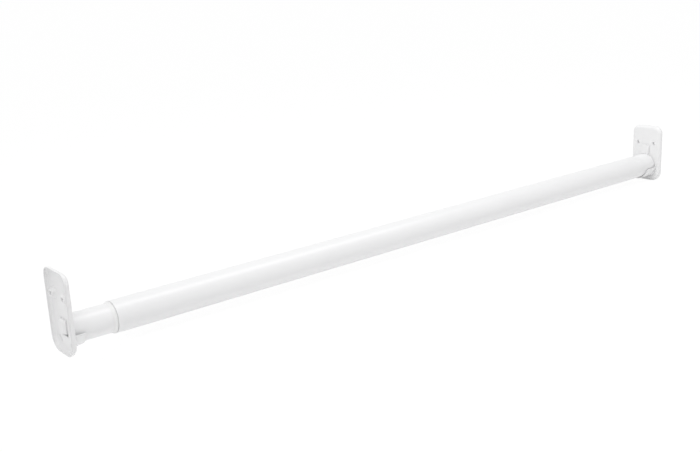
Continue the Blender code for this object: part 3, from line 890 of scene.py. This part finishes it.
def tube_clip(name, pad, placed):
    """One clip: a path for each column of points across the strip, which thins at its cut edges."""
    bends = clip_bends(pad, 0.0)
    counts = [max(1, round((there - here).length / CRADLE_STEP)) for here, there in zip(bends, bends[1:])]
    path = clip_path(bends, counts)
    lengths = [0.0]
    for here, there in zip(path, path[1:]):
        lengths.append(lengths[-1] + (there - here).length)
    halves = []
    for point, length in zip(path, lengths):
        depth = point.x if point.y < 0 else 0.0
        halves.append(clip_half_width(length, lengths[-1] - length, depth))
    lines = []
    for share in CLIP_COLUMNS:
        turned_in = held(1 - CLIP_WIDTH / 2 * (1 - abs(share)) / CLIP_EDGE_WIDTH)
        lines.append(clip_path(clip_bends(pad, eased(turned_in)), counts))
    front = []
    back = []
    for i, half in enumerate(halves):
        for share, line in zip(CLIP_COLUMNS, lines):
            run = line[min(i + 1, len(line) - 1)] - line[max(i - 1, 0)]
            broken = CLIP_CUT_EDGE if abs(share) == 1 or i in (0, len(line) - 1) else 0.0
            across = Vector((-run.y, run.x)).normalized() * (CLIP_SHEET / 2 - broken)
            x, z = line[i]
            front.append((x + across.x, half * share, z + across.y))
            back.append((x - across.x, half * share, z - across.y))
    width = len(CLIP_COLUMNS)
    faces = []
    for i in range(len(halves) - 1):
        for column in range(width - 1):
            corner = i * width + column
            faces.append((corner, corner + 1, corner + width + 1, corner + width))
    piece = pressed(name, front, back, faces, 0.0, PRESSING_ENAMEL, placed)
    centre = placed @ Vector((RIVET_FROM_WALL, 0.0, pad))
    drilled(piece, centre.x, centre.z - CLIP_SHEET, centre.z + CLIP_SHEET, RIVET_HOLE)
    return piece


def pad_height(bore, axis_z):
    """Height of the middle of the clip's pad, where its edges meet the tube's bore."""
    return axis_z - sqrt(bore**2 - (CLIP_PAD_WIDTH / 2) ** 2) + SEAT_GAP + CLIP_SHEET / 2


PADS = {
    "right": pad_height(outer_radius - OUTER_TUBE_WALL, 0.0),
    "left": pad_height(inner_bore, -LEFT_RAISE),
}
for side, body, placed in BRACKETS:
    clip = tube_clip(f"{side}_tube_clip_bent", PADS[side], placed)
    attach(clip, body)
    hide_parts(f"{side}_tube_clip")

# Rivets. Zinc-plated steel, one at each end, driven up through the cradle, the tube and the clip's pad. The
# flat head shows under the cradle, and the other end is clinched inside the tube.

RIVET_SHANK = 0.0012
RIVET_HEAD = 0.0024
RIVET_HEAD_HEIGHT = 0.0006
RIVET_HEAD_ROUND = 0.00045
RIVET_SEAT_ROUND = 0.00012
RIVET_CLINCH = 0.0019
RIVET_CLINCH_HEIGHT = 0.0007
RIVET_CLINCH_ROUND = 0.0005
RIVET_CLINCH_FOOT_ROUND = 0.00015
RIVET_FACETS = 48
ZINC_BRIGHT = (0.66, 0.67, 0.69)
ZINC_GREY = (0.52, 0.53, 0.55)
ZINC_ROUGHNESS = 0.28
ZINC_CRYSTAL_SCALE = 1500.0
ZINC_HAZE_SCALE = 900.0
ZINC_GRAIN_DEPTH = 0.00001
UPRIGHT = Matrix.Rotation(pi, 4, "X")


def zinc():
    """Zinc plate on steel: small crystals of differing brightness, dulled by handling."""
    material, surface, place = finish("rivet_zinc", {"Metallic": 1.0})
    crystal = place.node("TexVoronoi", {}, {"Vector": place, "Scale": ZINC_CRYSTAL_SCALE}, "Color")
    haze = place.noise(ZINC_HAZE_SCALE, detail=3.0)
    grey = crystal.node("SeparateColor", {}, {"Color": crystal}, "Red")
    feed(
        surface,
        Base_Color=(grey * 0.5 + haze * 0.5).tint(ZINC_GREY, ZINC_BRIGHT),
        Roughness=ZINC_ROUGHNESS + haze * 0.2,
        Normal=(grey * 0.3 + haze * 0.7).bump(ZINC_GRAIN_DEPTH),
    )
    return material


RIVET_ZINC = zinc()
for side, body, placed in BRACKETS:
    seat = -CRADLE_BORE - CRADLE_SHEET - SEAT_GAP
    clinch = PADS[side] + CLIP_SHEET / 2 + SEAT_GAP
    rivet_section = [
        (clinch + RIVET_CLINCH_HEIGHT, 0.0, 0.0),
        (clinch + RIVET_CLINCH_HEIGHT, RIVET_CLINCH, RIVET_CLINCH_ROUND),
        (clinch, RIVET_CLINCH, RIVET_CLINCH_FOOT_ROUND),
        (clinch, RIVET_SHANK, 0.0),
        (seat, RIVET_SHANK, 0.0),
        (seat, RIVET_HEAD, RIVET_SEAT_ROUND),
        (seat - RIVET_HEAD_HEIGHT, RIVET_HEAD, RIVET_HEAD_ROUND),
        (seat - RIVET_HEAD_HEIGHT, 0.0, 0.0),
    ]
    standing = placed @ Matrix.Translation((RIVET_FROM_WALL, 0.0, 0.0)) @ UPRIGHT
    rivet_line = rounded(rivet_section, closed=False)
    rivet = turned(f"{side}_rivet_clinched", rivet_line, RIVET_FACETS, RIVET_ZINC, standing)
    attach(rivet, body)
    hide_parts(f"{side}_rivet")

# Studio. The right-hand plate stands on a white floor, which falls away under the other so that it can turn.
# A long softbox hangs over the rod, and soft light comes from all round, most from the left. The camera is
# to the front and left of the rod, a little above it.

CAMERA_PLACE = (-1.0276, -0.6755, 0.2673)
CAMERA_YAW = radians(38.786)
CAMERA_PITCH = radians(15.794)
CAMERA_ROLL = radians(2.677)
CAMERA_LENS = 48.92
FLOOR_REACH = 30.0
FLOOR_ROOM = 0.004
FLOOR_SLOPE = (-0.766, -0.72)
FLOOR_WHITE = 0.96
FLOOR_SHADOW = 0.08
FLOOR_GLOW = 1.03
SKY_STRENGTH = 0.62
SKY_LEAN = 0.4
SOFTBOX_PLACE = (-0.48, -0.16, 0.9)
SOFTBOX_SIZE = (1.5, 0.4)
SOFTBOX_POWER = 5.6


def shown(tree):
    """1 on rays that show a thing to the camera, straight or mirrored or through glass, and 0 on the rest."""
    rays = Shade(tree).node("LightPath", {}, {}, "Is Camera Ray")
    seen = rays
    for name in ("Is Glossy Ray", "Is Transmission Ray"):
        seen = seen.maths("MAXIMUM", seen, Shade(tree, rays.socket.node.outputs[name]))
    return seen


def floor_paper():
    """White paper: lit as it is for the rod, and nearly plain white to the camera, with a trace of shadow."""
    material = bpy.data.materials.new("floor_paper")
    material.use_nodes = True
    tree = material.node_tree
    tree.nodes.remove(tree.nodes["Principled BSDF"])
    base = Shade(tree)
    paper = base.node("BsdfDiffuse", {}, {"Color": (FLOOR_WHITE, FLOOR_WHITE, FLOOR_WHITE, 1.0)})
    glow = base.node("Emission", {}, {"Strength": FLOOR_GLOW})
    mixed = base.node("MixShader", {}, {0: shown(tree) * (1 - FLOOR_SHADOW), 1: paper, 2: glow})
    tree.links.new(mixed.socket, tree.nodes["Material Output"].inputs["Surface"])
    return material


floor_mesh = bpy.data.meshes.new("floor")
floor_low = -cad_high.z - FLOOR_ROOM
floor_section = [
    (-FLOOR_REACH, floor_low),
    (FLOOR_SLOPE[0], floor_low),
    (FLOOR_SLOPE[1], cad_low.z),
    (FLOOR_REACH, cad_low.z),
]
floor_points = [(x, y, z) for y in (-FLOOR_REACH, FLOOR_REACH) for x, z in floor_section]
floor_corners = len(floor_section)
floor_faces = [(i, i + 1, floor_corners + i + 1, floor_corners + i) for i in range(floor_corners - 1)]
floor_mesh.from_pydata(floor_points, [], floor_faces)
floor_mesh.materials.append(floor_paper())
floor = bpy.data.objects.new("floor", floor_mesh)
bpy.context.collection.objects.link(floor)

sky = bpy.data.worlds.new("sky")
sky.use_nodes = True
sky.node_tree.nodes["Background"].inputs["Color"].default_value = (1.0, 1.0, 1.0, 1.0)
looking = Shade(sky.node_tree).node("TexCoord", {}, {}, "Generated")
rightward = looking.node("SeparateXYZ", {}, {"Vector": looking}, "X")
lit = SKY_STRENGTH - rightward * (SKY_STRENGTH * SKY_LEAN)
feed(sky.node_tree.nodes["Background"], Strength=lit.maths("MAXIMUM", lit, shown(sky.node_tree)))
bpy.context.scene.world = sky

lamp = bpy.data.lights.new("softbox", "AREA")
lamp.shape = "RECTANGLE"
lamp.size, lamp.size_y = SOFTBOX_SIZE
lamp.energy = SOFTBOX_POWER
softbox = bpy.data.objects.new("softbox", lamp)
softbox.location = SOFTBOX_PLACE
softbox.rotation_euler = (atan2(SOFTBOX_PLACE[1], SOFTBOX_PLACE[2]), 0.0, 0.0)
bpy.context.collection.objects.link(softbox)

lens = bpy.data.cameras.new("camera")
lens.lens = CAMERA_LENS
camera = bpy.data.objects.new("camera", lens)
turn = Matrix.Rotation(-CAMERA_YAW, 4, "Z") @ Matrix.Rotation(pi / 2 - CAMERA_PITCH, 4, "X")
camera.matrix_world = Matrix.Translation(CAMERA_PLACE) @ turn @ Matrix.Rotation(-CAMERA_ROLL, 4, "Z")
bpy.context.collection.objects.link(camera)
bpy.context.scene.camera = camera
bpy.context.scene.view_settings.view_transform = "Standard"
